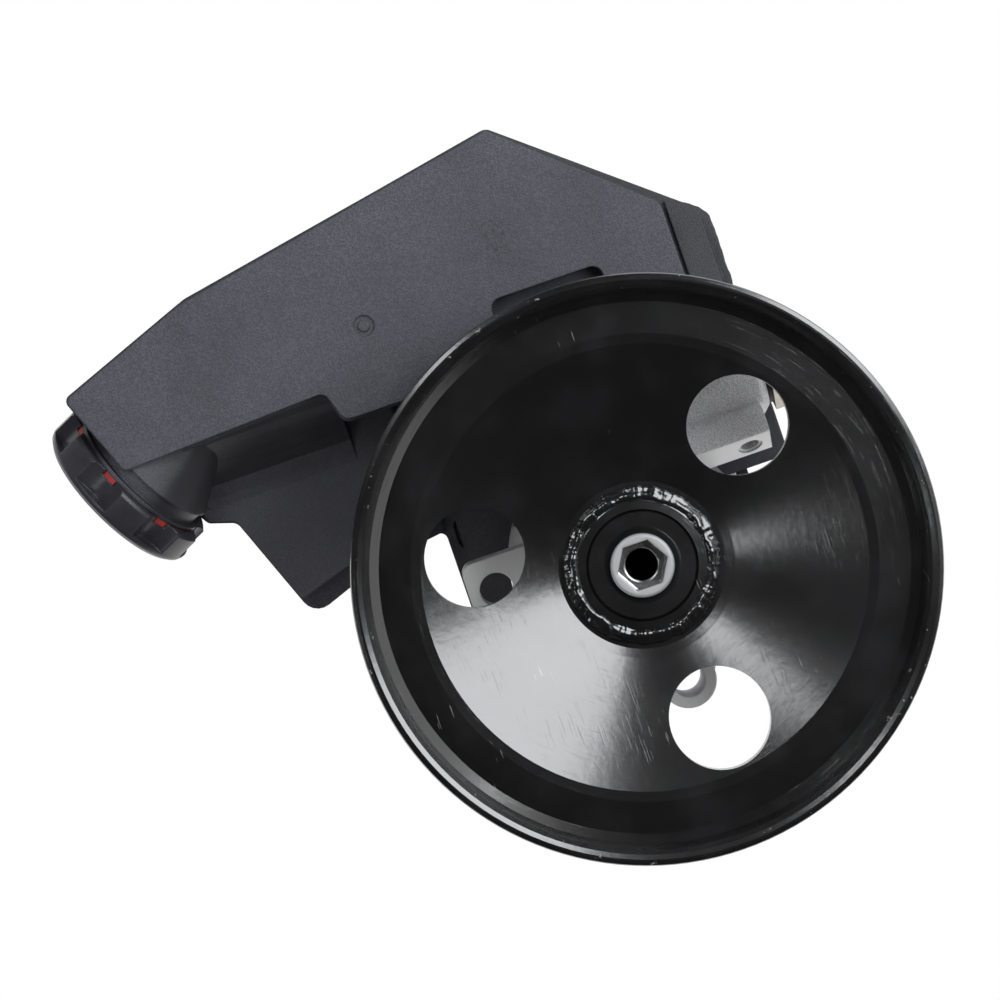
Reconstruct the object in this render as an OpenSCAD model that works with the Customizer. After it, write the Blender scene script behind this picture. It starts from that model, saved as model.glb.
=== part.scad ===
// Belt-driven vane pump with a welded plastic reservoir, a stamped pulley and a filler cap.
// The shaft lies along Y with the pulley at -Y, Z is up, and the origin is the shaft's front end.

/* [Shaft] */
// Diameter of the drive shaft
shaft_d = 17; // [16:0.5:18]
// Diameter of the threaded bore in the shaft's front end
shaft_thread_d = 8.6; // [6:0.2:9.6]
// Depth of the threaded bore behind the socket
shaft_thread_len = 19; // [12:1:26]
// Hexagon socket in the shaft's front end, across flats
socket_af = 12; // [10:0.5:13]
// Depth of the hexagon socket
socket_depth = 5; // [3:0.5:8]
// Diameter of the splined rear end of the shaft
spline_d = 14; // [12:0.5:14.5]

/* [Pulley] */
// Diameter over the two rim edges
pulley_d = 152; // [146:1:160]
// Width of the rim
rim_w = 27; // [25.5:0.5:30]
// Distance from the rim's front edge to the shaft's front end
rim_overhang = 22; // [20:0.5:24]
// Number of belt grooves
groove_count = 6; // [4:1:6]
// Distance between belt grooves
groove_pitch = 3.56; // [3.3:0.02:3.6]
// Depth of a belt groove
groove_depth = 2.5; // [2:0.1:2.8]
// Width of a belt groove at its mouth
groove_w = 2.8; // [2.4:0.1:3]
// Depth of the groove lands below the rim edges
land_drop = 0.5; // [0.2:0.1:1]
// Thickness of the rim under the grooves
rim_wall = 2; // [1.6:0.1:2.6]
// Thickness of the pressed web
sheet_t = 3; // [2.4:0.1:3.6]
// Depth of the web's flat ring behind the rim's front edge
web_depth = 10.2; // [8:0.2:12]
// Outer radius of the conical web
cone_r = 60; // [56:0.5:62]
// Depth of the cone
cone_depth = 13.6; // [12:0.2:14.6]
// Radius of the flat land round the hub
land_r = 24.4; // [23:0.2:27]
// Diameter of the access holes
hole_d = 26.3; // [22:0.1:28]
// Radius of the circle of access holes
hole_ring_r = 44; // [42:0.2:45]
// Angle of the first access hole, from +X towards +Z
hole_angle = -52.3; // [-60:0.1:-45]
// Outer diameter of the hub
hub_d = 29.5; // [27:0.5:32]
// Length of the hub
hub_len = 19; // [16:0.5:19.5]
// Distance of the hub's face behind the shaft's end
hub_setback = 0.8; // [0.4:0.1:1.4]
// Leg of the weld fillet round the hub
weld_leg = 4.6; // [3:0.2:6]

/* [Pump cartridge] */
// Radius of the cartridge bore in the housing
cavity_r = 24; // [23.5:0.1:24.5]
// Wall of the cam ring where it is thickest
cam_wall = 7; // [6.6:0.1:7.4]
// Rise of the cam from its least to its greatest radius
cam_rise = 1.6; // [1:0.1:2]
// Width of the cam ring
cam_w = 18; // [16:0.5:20]
// Thickness of the thrust plate
thrust_t = 6; // [5:0.5:8]
// Thickness of the pressure plate
plate_t = 9; // [8:0.5:11]
// Free height left for the pressure plate's spring
spring_gap = 7; // [6:0.5:9]
// Thickness of the end cover
cover_t = 9; // [8:0.5:11]
// Thickness of a vane
vane_t = 1.9; // [1.5:0.1:2.2]
// Wall between a vane slot's foot and the spline
slot_wall = 2; // [1.6:0.1:2.4]
// Depth that a vane can slide into the rotor
vane_travel = 1.5; // [1:0.1:1.8]
// Mean radius of the pressure plate's spring
plate_spring_r = 14; // [12:0.5:16]
// Diameter of the alignment dowels
dowel_d = 3; // [2.5:0.1:3.4]

/* [Housing] */
// Length of the housing's nose, from its face to the cartridge
nose_len = 20; // [19:0.5:23]
// Radius of the nose at its face
nose_r = 19; // [18:0.5:21]
// Wall round the cartridge
housing_wall = 6; // [5:0.5:6.5]
// Outer diameter of the shaft seal
seal_d = 29; // [26:0.5:31]
// Width of the shaft seal
seal_w = 7; // [6:0.5:8]
// Wall of the shaft bushing
bushing_wall = 2; // [1.5:0.1:2.5]
// Distance of the ears' faces behind the nose's face
ear_setback = 3; // [2:0.5:5]
// Thickness of the ears
ear_t = 15; // [12:0.5:18]
// Diameter of the mounting holes
mount_hole_d = 9.2; // [8:0.1:10]
// Place of the side ear's hole, as x and z
side_ear = [-35, -2.6];
// Radius of the side ear
side_ear_r = 7.6; // [7:0.1:9]
// Distance of the upper ear's hole from the shaft, along Z
upper_ear_z = 38.2; // [37:0.2:40]
// Place of the upper ear's hole, along X
upper_ear_x = 4.8; // [3:0.2:7]
// Distance from the upper ear's hole to the ear's straight edges
upper_ear_edge = 7.6; // [7:0.1:9]
// Distance of the flow valve's axis from the housing's barrel
valve_offset = 10; // [9:0.5:11]
// Distance of the flow valve's axis behind the nose's face
valve_setback = 15; // [14.5:0.5:16]
// Bore of the flow valve
valve_bore_d = 16; // [14:0.5:17]
// Wall round the flow valve's bore
valve_wall = 6.5; // [5:0.5:7]
// Top and bottom of the flow valve's lobe, above the shaft
valve_span = [-48, 25];
// Length of the flow valve's spool
spool_len = 26; // [20:1:30]
// Depth of the outlet fitting's thread in the lobe
fitting_thread_len = 14; // [11:0.5:16]
// Diameter of the outlet fitting's thread
fitting_thread_d = 20; // [18.5:0.5:22]
// Hexagon of the outlet fitting, across flats
fitting_af = 25; // [24:0.5:27]
// Height of the outlet fitting's hexagon
fitting_hex_h = 8; // [8:0.5:10]
// Bore of the outlet fitting's hose thread
port_thread_d = 14.4; // [12:0.2:15]
// Depth of the outlet fitting's hose thread
port_thread_len = 9; // [7:0.5:9]

/* [Reservoir] */
// Wall of the moulded halves
tank_wall = 3; // [2.4:0.1:3.4]
// Distance of the raised panel's face behind the shaft's end
panel_y = 11; // [10:0.5:13]
// Height of the raised panel above the shoulder
panel_rise = 6; // [4:0.5:8]
// Distance of the skirt's face behind the shaft's end
skirt_y = 38; // [36:0.5:40]
// Distance of the weld seam behind the shaft's end
seam_y = 54; // [53:0.5:56]
// Distance of the rear wall behind the shaft's end
tank_rear_y = 86; // [84:1:95]
// Width of the weld flange
flange_w = 3.5; // [2.5:0.1:4]
// Thickness of each half's weld flange
flange_t = 3.5; // [3:0.1:4.5]
// Gap between the reservoir's saddle and the housing
saddle_gap = 4; // [3.6:0.1:5]
// Outer radius of the filler neck's tube
neck_r = 20; // [19:0.2:21]
// Lean of the filler neck towards -X
neck_lean = 25; // [22:0.5:28]
// Lean of the filler neck towards the rear
neck_back = 12; // [8:0.5:14]
// Centre of the cap's seat, as x and z
neck_seat = [64.9, 120.3];
// Outer radius of the neck inside the cap
mouth_r = 17.5; // [17:0.1:18]
// Height of the neck inside the cap
mouth_h = 5; // [4:0.5:6]
// Outer diameter of the return nipple
nipple_d = 10; // [8:0.5:12]
// Length of the return nipple
nipple_len = 24; // [18:1:30]
// Place of the return nipple, as x and z
nipple_at = [92, 22];

/* [Cap and clips] */
// Outer diameter of the filler cap
cap_d = 48.4; // [48:0.1:49]
// Height of the filler cap above its seat
cap_h = 9.2; // [9:0.2:11]
// Number of scallops round the cap
scallop_count = 7; // [6:1:8]
// Depth of the scallops, which pass the skirt and show the gasket
scallop_depth = 3.2; // [3:0.1:3.4]
// Thickness of the gasket under the cap
gasket_t = 1.4; // [1.2:0.1:1.5]
// Length of the dipstick below the cap
dipstick_len = 56; // [44:1:58]
// Thickness of the clips' sheet
clip_t = 1; // [0.8:0.1:1.2]
// Length of the clips along the housing
clip_len = 18; // [12:1:20]

/* [Hidden] */
$fn = 96;
vane_count = 10;

// Clearances: running fit on the shaft, free play between flat faces, loose fit, and a seal's seat
run_gap = 0.04;
face_gap = 0.05;
loose_gap = 0.3;
seat_gap = 0.02;
// Length by which a cut passes a face
over = 1;

// Places along the shaft
hub_rear = hub_setback + hub_len;
nose_gap = 1.6;
nose_front = hub_rear + nose_gap;
cavity_floor = nose_front + nose_len;
cam_front = cavity_floor + thrust_t;
cam_rear = cam_front + cam_w;
plate_rear = cam_rear + plate_t;
cover_front = plate_rear + spring_gap;
cover_rear = cover_front + cover_t;
ring_wire_d = 2.4;
housing_rear = cover_rear + ring_wire_d + 2;
ear_front = nose_front + ear_setback;
valve_y = nose_front + valve_setback;
housing_r = cavity_r + housing_wall;
valve_x = housing_r + valve_offset;
saddle_r = housing_r + saddle_gap;
// Length that reaches past every round piece, for wedge-shaped cuts
far = 2 * housing_r;

// Rim, web and hub
rim_front = -rim_overhang;
rim_rear = rim_front + rim_w;
rim_mid = rim_front + rim_w / 2;
rim_r = pulley_d / 2;
rib_r = rim_r - land_drop;
rim_inner_r = rib_r - groove_depth - rim_wall;
lip_r = 1.2;
web_front = rim_front + web_depth;
web_slope = cone_depth / (cone_r - land_r);
web_step = sheet_t * sqrt(1 + web_slope * web_slope);
land_y = web_front + cone_depth;
band_w = 2.2;
band_h = 1.8;

// Cartridge
cam_r_min = cavity_r - cam_wall;
plate_r = cavity_r - face_gap;
rotor_r = cam_r_min - 0.4;
vane_tip_r = cam_r_min - loose_gap;
slot_w = vane_t + 2 * face_gap;
slot_foot_r = slot_w * 0.75;
slot_root_r = spline_d / 2 + slot_wall + slot_foot_r;
vane_root_r = slot_root_r + vane_travel + loose_gap;
spline_y = cam_front - thrust_t / 3;
spline_teeth = 12;
spline_tooth = 1;
rotor_front = cam_front + face_gap;
rotor_rear = cam_rear - face_gap;
circlip_t = 1.2;
circlip_r = spline_d / 2 + 1.4;
circlip_bore_r = spline_d / 2 - spline_tooth - 0.4;
shaft_rear = rotor_rear + circlip_t + 2;
plate_recess_r = circlip_r + 1.2;
plate_recess = shaft_rear - cam_rear + 1;
dowel_ring_r = (cam_r_min + cam_rise + plate_r) / 2;
dowel_angle = 35;
dowel_seat = 4;
ring_d = 2.4;
ring_groove_w = ring_d + 0.6;
seal_land = 1.2;
dowel_end = plate_rear - seal_land - ring_groove_w - 0.8;

// Cast arm in front of the flow valve's lobe: its ridge, the foot of its drilled face, its end and its hole
arm_ridge = [21.4, ear_front + 1.1];
arm_foot = [15.7, ear_front + 12.1];
arm_end_z = -45;
arm_root_z = -16;
arm_hole_z = -39.1;
arm_hole_d = 5;

// Flow valve
valve_lobe_r = valve_bore_d / 2 + valve_wall;
valve_floor_z = valve_span[1] - valve_wall;
fitting_top_z = valve_span[0] + fitting_thread_len;
spool_low_z = fitting_top_z + loose_gap;
spool_high_z = spool_low_z + spool_len;
spring_wire = 1.6;
washer_t = 1.5;
fitting_low_z = valve_span[0] - washer_t - fitting_hex_h;
fitting_bore_d = 6;

// Reservoir outlines, as x and z, counter-clockwise from the front
shoulder_y = panel_y + panel_rise;
panel_low_z = -35.8;
panel_x = 61.1;
panel_foot = [88.3, panel_low_z];
panel_apex = [121.1, 1.7];
panel_side = [104, 92.6];
panel_peak = [89.9, 129.4];
panel_end = [67.4, 120.7];
panel_step = [69.8, 64.3];
panel_top = [panel_x, 61.4];
panel_outline = [
    [panel_x, panel_low_z], panel_foot, panel_apex, panel_side,
    panel_peak, panel_end, panel_step, panel_top
];
panel_radii = [2, 4, 2, 10, 1.6, 1.6, 2.4, 3];
panel_notch = [17.3, 31];
strip_low_z = -44.5;
strip_end = [83.6, strip_low_z];
groove_d = 1.2;
groove_h = 1.5;
shoulder_w = 0.8;
body_outline = inset([
    [panel_x, strip_low_z], strip_end, panel_foot, panel_apex, panel_side,
    panel_peak, panel_end, panel_step, panel_top
], -shoulder_w);
body_radii = [2, 2, 4, 2.5, 10, 2, 2, 2.4, 3];
// Flank under the panel's lower edge: how far out it stands, and at which depth
flank_curve = [
    [0, shoulder_y + 1.5], [2.2, shoulder_y + 3.5], [4.2, shoulder_y + 6.4], [6.1, shoulder_y + 9.8],
    [8.1, shoulder_y + 13.2], [10.5, skirt_y - 4.6], [13.4, skirt_y - 2.1], [17, skirt_y - 0.6],
    [21, skirt_y + 0.4]
];
flank_back = 11;
skirt_outline = [
    [24.3, 49.2], [78.4, 49.2], [78.4, 111.2], [46.8, 106.4], [44.6, 99], [18.7, 89.1], [23.2, 74.4]
];
skirt_radii = [3, 1, 1, 2, 3, 1, 4];
seam_low_z = -50.3;
seam_top_z = 46.5;
seam_ring = [
    [82.6, seam_low_z], [123.8, 0], [106.6, 93.5], [92.4, 129.4], [66.4, 119.8],
    [46.2, 107.3], [43.8, 99.8], [12.6, 87.9], [20.5, 66], [23, seam_top_z]
];
seam_ring_radii = [4, 2.5, 10, 3, 2, 2, 3, 5, 6, 2];
front_seam_x = 58.5;
arm_x = 12;
arm_solid = 17;
front_seam = concat([[front_seam_x, seam_low_z]], seam_ring, [[front_seam_x, seam_top_z]]);
front_seam_radii = concat([2], seam_ring_radii, [2]);
rear_seam = concat([[arm_x, seam_low_z]], seam_ring, [[arm_x, seam_top_z]]);
rear_seam_radii = concat([3], seam_ring_radii, [2]);

// Neck, cap and gasket, along the neck's own axis with 0 at the cap's lower edge
neck_y = seam_y - neck_r - 1;
neck_foot = -30;
neck_foot_r = 6;
neck_end = -6.5;
collar_r = neck_r - 0.8;
shelf_z = -gasket_t - 2 * face_gap;
cap_skirt_z = -1.6;
mouth_bore_r = mouth_r - 2.4;
cap_bore_r = mouth_r + 0.7;
cap_roof = mouth_h + 1.2;
gasket_r = collar_r + 1.8;
lip_t = 1.2;
scallop_turn = 23.4;
cap_clear = 1.4;

// Feed port between the reservoir and the housing, along X
port_y = seam_y + 13;
port_r = 9;
port_bore_r = 7;
seal_t = 1;
port_face_x = saddle_r + 0.2;
spigot_gap = 0.15;

// Clip rails: plates of the housing and the reservoir that one folded clip holds together
clip_y = seam_y + 6;
rail_t = 3;
rail_gap = 0.3;
rail_x = 5.2;
rail_w = 5.6;
rail_z = saddle_r + 1;

// Unit vector, and left-hand normal of an edge
function unit(v) = v / norm(v);
function edge_normal(a, b) = let (d = unit(b - a)) [-d[1], d[0]];

// Outline moved inwards by a distance, with its corners kept
function inset(points, distance) = let (n = len(points)) [
    for (i = [0:n - 1])
        let (
            before = edge_normal(points[(i + n - 1) % n], points[i]),
            after = edge_normal(points[i], points[(i + 1) % n])
        )
        points[i] + distance * (before + after) / (1 + before * after)
];

// Points of the arc that rounds the corner b between its neighbours a and c
function corner_arc(a, b, c, radius, steps) =
    let (
        u = unit(a - b),
        v = unit(c - b),
        half = acos(u * v) / 2,
        centre = b + unit(u + v) * radius / sin(half),
        first = b + u * radius / tan(half) - centre,
        last = b + v * radius / tan(half) - centre,
        start = atan2(first[1], first[0]),
        turn = atan2(first[0] * last[1] - first[1] * last[0], first * last)
    )
    [for (k = [0:steps]) centre + radius * [cos(start + turn * k / steps), sin(start + turn * k / steps)]];

// Outline with its corners rounded
function rounded(points, radii, steps = 5) = let (n = len(points)) [
    for (i = [0:n - 1])
        each corner_arc(points[(i + n - 1) % n], points[i], points[(i + 1) % n], radii[i], steps)
];

// Outline moved inwards and rounded, with the outer radii reduced to match
function shelled(points, radii, distance) =
    rounded(inset(points, distance), [for (r = radii) max(0.6, r - distance)]);

// Child drawn along Z, turned to lie along Y from a place on the shaft
module along_y(y = 0) {
    translate([0, y, 0]) rotate([-90, 0, 0]) children();
}

// Round bar along Y
module rod_y(radius, y0, y1, at = [0, 0]) {
    translate([at[0], 0, at[1]]) along_y(y0) cylinder(r = radius, h = y1 - y0);
}

// Tube along Y
module tube_y(outer, inner, y0, y1) {
    difference() {
        rod_y(outer, y0, y1);
        rod_y(inner, y0 - over, y1 + over);
    }
}

// Round bar along Z on the flow valve's axis
module rod_valve(radius, z0, z1) {
    translate([valve_x, valve_y, z0]) cylinder(r = radius, h = z1 - z0);
}

// Outline of x and z, extruded along Y
module prism_y(points, y0, y1) {
    translate([0, y1, 0]) rotate([90, 0, 0]) linear_extrude(y1 - y0) polygon(points);
}

// Block between two corners
module block(low, high) {
    translate(low) cube(high - low);
}

// Profile of radius and place along the shaft, turned about the shaft
module turned(profile) {
    rotate([-90, 0, 0]) rotate_extrude() polygon(profile);
}

// Round ring about the shaft, of a round section
module o_ring(ring_radius, y, wire) {
    along_y(y) rotate_extrude() translate([ring_radius, 0]) circle(d = wire, $fn = 32);
}

// Coil of round wire about Z, with closed ends, from z0 to z1
module coil(radius, wire, turns, z0, z1) {
    sides = 8;
    steps = round(turns * 20);
    rings = [
        for (i = [0:steps])
            let (a = 360 * turns * i / steps, z = z0 + (z1 - z0) * i / steps)
            [for (k = [0:sides - 1])
                let (r = radius + wire / 2 * cos(360 * k / sides))
                [r * cos(a), r * sin(a), z + wire / 2 * sin(360 * k / sides)]]
    ];
    points = [for (ring = rings) each ring];
    sleeve = [
        for (i = [0:steps - 1], k = [0:sides - 1])
            let (a = i * sides + k, b = i * sides + (k + 1) % sides)
            each [[a, a + sides, b], [b, a + sides, b + sides]]
    ];
    first = [[for (k = [0:sides - 1]) k]];
    last = [[for (k = [sides - 1:-1:0]) steps * sides + k]];
    polyhedron(points, concat(sleeve, first, last));
}

// Places of the access holes, as x and z
function hole_places() = [
    for (i = [0:2]) hole_ring_r * [cos(hole_angle + 120 * i), sin(hole_angle + 120 * i)]
];

// Belt grooves as points of the rim's outer edge, from front to rear
function groove_points() = [
    for (i = [0:groove_count - 1])
        let (y = rim_mid + (i - (groove_count - 1) / 2) * groove_pitch, foot = groove_w * 0.14)
        each [
            [rib_r, y - groove_w / 2], [rib_r - groove_depth, y - foot],
            [rib_r - groove_depth, y + foot], [rib_r, y + groove_w / 2]
        ]
];

module pulley() {
    inner_front = rim_inner_r + 1;
    edge_w = (rim_w - groove_pitch * groove_count) / 2;
    profile = concat(
        [[hub_d / 2, land_y + sheet_t], [hub_d / 2, land_y], [land_r - 2.4, land_y], [land_r, land_y - 0.8]],
        [[cone_r - 2, web_front + 0.3], [cone_r + 0.6, web_front], [rim_inner_r - band_w, web_front]],
        [[rim_inner_r + 0.2, web_front - band_h], [inner_front, rim_front + 2.4]],
        [[inner_front + 1, rim_front + 0.5], [inner_front + 2.2, rim_front]],
        [[rim_r - lip_r, rim_front], [rim_r - 0.3, rim_front + 0.4]],
        [[rim_r, rim_front + lip_r], [rim_r, rim_front + edge_w - land_drop], [rib_r, rim_front + edge_w]],
        groove_points(),
        [[rib_r, rim_rear - edge_w], [rim_r, rim_rear - edge_w + land_drop], [rim_r, rim_rear - lip_r]],
        [[rim_r - 0.3, rim_rear - 0.4], [rim_r - lip_r, rim_rear], [rim_inner_r + 0.8, rim_rear]],
        [[rim_inner_r, rim_rear - 0.8], [rim_inner_r, web_front + sheet_t + 3]],
        [[rim_inner_r - 3, web_front + sheet_t], [cone_r + 1.2, web_front + sheet_t]],
        [[land_r, land_y + web_step - 0.8], [land_r - 2.4, land_y + sheet_t]]
    );
    color("#17181a") difference() {
        turned(profile);
        for (at = hole_places()) rod_y(hole_d / 2, rim_front - over, rim_rear + over, at);
    }
}

module pulley_hub() {
    r = hub_d / 2;
    groove_y = land_y + sheet_t + 3;
    profile = [
        [shaft_d / 2, hub_rear], [shaft_d / 2, hub_setback + 1.8], [shaft_d / 2 + 1.8, hub_setback],
        [r - 0.8, hub_setback], [r, hub_setback + 0.8],
        [r, land_y - weld_leg * 0.3], [r + weld_leg * 0.45, land_y - weld_leg * 0.26], [r + weld_leg, land_y],
        [r, land_y], [r, groove_y], [r - 1.6, groove_y + 1.6], [r - 1.6, hub_rear - 3.4],
        [r - 0.4, hub_rear - 2.2], [r - 0.4, hub_rear - 0.6], [r - 1, hub_rear]
    ];
    color("#1b1c1e") turned(profile);
}

// Splined end of the shaft, with a clearance for the rotor's bore
module spline(y0, y1, gap = 0) {
    rod_y(spline_d / 2 - spline_tooth + gap, y0, y1);
    intersection() {
        rod_y(spline_d / 2 + gap, y0, y1);
        for (i = [0:spline_teeth - 1])
            rotate([0, i * 360 / spline_teeth, 0])
                block([0, y0, -0.9 - gap], [spline_d / 2 + over, y1, 0.9 + gap]);
    }
}

module drive_shaft() {
    r = shaft_d / 2;
    body = [
        [0, 0.6], [0, spline_y], [spline_d / 2 - spline_tooth, spline_y],
        [r, spline_y - 1], [r, 0.6], [r - 0.6, 0], [0, 0]
    ];
    color("#c9cbce") difference() {
        union() {
            turned(body);
            spline(spline_y - over, shaft_rear);
        }
        along_y(-over) rotate(30) cylinder(d = socket_af / cos(30), h = socket_depth + over, $fn = 6);
        rod_y(shaft_thread_d / 2, 0, socket_depth + shaft_thread_len);
        tube_y(spline_d, circlip_bore_r, rotor_rear, rotor_rear + circlip_t + 2 * face_gap);
    }
}

module rotor() {
    color("#8f9296") difference() {
        rod_y(rotor_r, rotor_front, rotor_rear);
        spline(rotor_front - over, rotor_rear + over, face_gap);
        for (i = [1:vane_count]) vane_place(i) {
            block([slot_root_r, rotor_front - over, -slot_w / 2],
                [rotor_r + over, rotor_rear + over, slot_w / 2]);
            translate([slot_root_r, 0, 0]) rod_y(slot_foot_r, rotor_front - over, rotor_rear + over);
        }
    }
}

// Direction of a vane, turned about the shaft from +X towards +Z
module vane_place(i) {
    rotate([0, -(i - 1) * 360 / vane_count, 0]) children();
}

module vane(i) {
    nose = vane_t / 2;
    color("#a9adb2") vane_place(i) intersection() {
        block([vane_root_r, rotor_front, -vane_t / 2], [vane_tip_r, rotor_rear, vane_t / 2]);
        union() {
            block([vane_root_r - over, rotor_front - over, -vane_t],
                [vane_tip_r - nose, rotor_rear + over, vane_t]);
            rod_y(nose, rotor_front - over, rotor_rear + over, [vane_tip_r - nose, 0]);
        }
    }
}

module rotor_retaining_ring() {
    y0 = rotor_rear + face_gap;
    color("#6d7074") difference() {
        tube_y(circlip_r, circlip_bore_r + seat_gap, y0, y0 + circlip_t);
        block([0, y0 - over, -2], [circlip_r + over, y0 + circlip_t + over, 2]);
    }
}

// Flow valve's lobe and the block that joins it to the housing's barrel
module valve_lobe() {
    chamfer = 2;
    translate([valve_x, valve_y, valve_span[0]])
        cylinder(r1 = valve_lobe_r - chamfer, r2 = valve_lobe_r, h = chamfer);
    rod_valve(valve_lobe_r, valve_span[0] + chamfer, valve_span[1] - chamfer);
    translate([valve_x, valve_y, valve_span[1] - chamfer])
        cylinder(r1 = valve_lobe_r, r2 = valve_lobe_r - 3, h = chamfer);
    block([housing_r - 12, valve_y - 9, arm_root_z - 4], [valve_x, valve_y + 11, valve_span[1] - 7]);
}

// Ear on the side away from the reservoir, with its arm
module side_ear_body() {
    reach = [
        side_ear + [0, side_ear_r], side_ear - [0, side_ear_r],
        [-housing_r * 0.62, -housing_r * 0.62], [-housing_r * 0.62, housing_r * 0.62]
    ];
    rod_y(side_ear_r, ear_front, ear_front + ear_t + 5, side_ear);
    prism_y(reach, ear_front + 1.5, ear_front + ear_t);
}

// Square-cornered ear on the +Z side of the shaft
module upper_ear_body() {
    top = upper_ear_z + upper_ear_edge;
    right = upper_ear_x + upper_ear_edge + 1.2;
    left = upper_ear_x - upper_ear_edge - 1;
    outline = [[left - 8, 16], [right, 16], [right, top], [left, top], [left, upper_ear_z]];
    prism_y(rounded(outline, [1, 1, 3, 6, 4]), ear_front, ear_front + ear_t);
}

// Arm along Z that stands out of the flow valve's lobe and ends in a rounded tip
module cast_arm() {
    back_x = valve_x - valve_lobe_r * 0.5;
    section = [
        [back_x, arm_ridge[1] + 4], [back_x, arm_foot[1]], arm_foot, arm_ridge, arm_ridge + [4, -2.2]
    ];
    tip = [
        [arm_foot[0] - over, arm_end_z], [back_x + over, arm_end_z],
        [back_x + over, arm_root_z], [arm_foot[0] - over, arm_root_z]
    ];
    intersection() {
        translate([0, 0, arm_end_z - over]) linear_extrude(arm_root_z - arm_end_z + over)
            polygon(rounded(section, [0.6, 0.6, 1, 2.2, 5], 4));
        prism_y(rounded(tip, [2, 6, 1, 1], 6), ear_front - 4, arm_foot[1] + over);
    }
}

// Threaded hole square to the arm's drilled face, with its spot face
module arm_hole() {
    face = unit(arm_foot - arm_ridge);
    at = arm_ridge + 0.48 * (arm_foot - arm_ridge);
    translate([at[0], at[1], arm_hole_z]) rotate([0, 0, atan2(face[1], face[0]) - 90]) rotate([0, 90, 0]) {
        translate([0, 0, -over]) cylinder(d = arm_hole_d, h = 7 + over, $fn = 48);
        translate([0, 0, -over]) cylinder(d = arm_hole_d + 1.6, h = over + 0.5, $fn = 48);
    }
}

// Rail for a reservoir clip on the upper side of the barrel
module housing_rail() {
    block([rail_x, clip_y - 2, rail_z - rail_t], [rail_x + rail_w + over, clip_y + clip_len + 2, rail_z]);
    block([rail_x + rail_w, clip_y - 2, housing_r * 0.6],
        [rail_x + rail_w + 7, clip_y + clip_len + 2, rail_z]);
}

// Turned outside of the housing
module housing_barrel() {
    barrel = [
        [0, nose_front], [nose_r - 1, nose_front], [nose_r, nose_front + 1], [nose_r + 2.5, ear_front + 4],
        [housing_r - 3, ear_front + 7], [housing_r - 1, cavity_floor - 3], [housing_r, cavity_floor],
        [housing_r, housing_rear - 2], [housing_r - 1.5, housing_rear], [0, housing_rear]
    ];
    turned(barrel);
}

// Passage from the flow valve to the cartridge
module valve_passage() {
    translate([0, cavity_floor + thrust_t / 2, valve_floor_z - 8]) rotate([0, 90, 0])
        cylinder(r = 2.5, h = valve_x);
}

// The casting's other part: the flow valve's lobe with its arm, set against the barrel
module valve_housing() {
    color("#a5a7a9") difference() {
        union() {
            valve_lobe();
            cast_arm();
        }
        housing_barrel();
        arm_hole();
        valve_passage();
        // Valve's bore and the fitting's thread
        rod_valve(valve_bore_d / 2, valve_span[0], valve_floor_z);
        rod_valve(fitting_thread_d / 2 + seat_gap, valve_span[0] - over, fitting_top_z);
    }
}

module pump_housing() {
    color("#a5a7a9") difference() {
        union() {
            housing_barrel();
            side_ear_body();
            upper_ear_body();
            housing_rail();
            mirror([0, 0, 1]) housing_rail();
            translate([0, port_y, 0]) rotate([0, 90, 0]) cylinder(r = port_r, h = port_face_x - seal_t);
            for (a = [115, 155, 205, 245]) rotate([0, -a, 0])
                block([housing_r - 4, ear_front + 8, -2], [housing_r + 1.6, housing_rear - 10, 2]);
        }
        // Shaft's way through the nose, with the seats of the seal and the bushing
        rod_y(shaft_d / 2 + 0.5, nose_front - over, cavity_floor + over);
        rod_y(seal_d / 2, nose_front - over, nose_front + seal_w + 0.8);
        rod_y(shaft_d / 2 + bushing_wall, nose_front + seal_w, cavity_floor + over);
        // Cartridge bore, its wire ring's groove and the dowels' seats
        rod_y(cavity_r, cavity_floor, housing_rear + over);
        o_ring(cavity_r, cover_rear + ring_wire_d / 2 + face_gap, ring_wire_d + 2 * seat_gap);
        dowel_holes(cavity_floor - dowel_seat - face_gap, cavity_floor + over);
        // Mounting holes and the side ear's spot face
        rod_y(mount_hole_d / 2, ear_front - over, ear_front + ear_t + 5 + over, side_ear);
        rod_y(mount_hole_d / 2, ear_front - over, ear_front + ear_t + over, [upper_ear_x, upper_ear_z]);
        valve_passage();
        // Feed port
        translate([0, port_y, 0]) rotate([0, 90, 0]) cylinder(r = port_bore_r, h = port_face_x);
    }
}

module shaft_bushing() {
    r = shaft_d / 2;
    color("#a8793c")
        tube_y(r + bushing_wall - seat_gap, r + run_gap, nose_front + seal_w + 1, cavity_floor);
}

module shaft_seal() {
    y0 = nose_front + 0.8;
    lip = shaft_d / 2 + run_gap;
    outer = seal_d / 2 - seat_gap;
    profile = [
        [outer, y0], [outer, y0 + seal_w - seat_gap],
        [outer - 3, y0 + seal_w - seat_gap], [outer - 3, y0 + 2],
        [lip + 1.2, y0 + 2], [lip + 1, y0 + seal_w - 2.4], [lip, y0 + seal_w - 2.4], [lip, y0 + 1.4],
        [lip + 1, y0]
    ];
    color("#2a2a2c") turned(profile);
}

module dowel_holes(y0, y1) {
    for (s = [0, 180])
        rod_y(dowel_d / 2 + seat_gap, y0, y1, dowel_ring_r * [cos(dowel_angle + s), sin(dowel_angle + s)]);
}

module alignment_dowels() {
    color("#b9bcc0") for (s = [0, 180])
        rod_y(dowel_d / 2, cavity_floor - dowel_seat, dowel_end,
            dowel_ring_r * [cos(dowel_angle + s), sin(dowel_angle + s)]);
}

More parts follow.
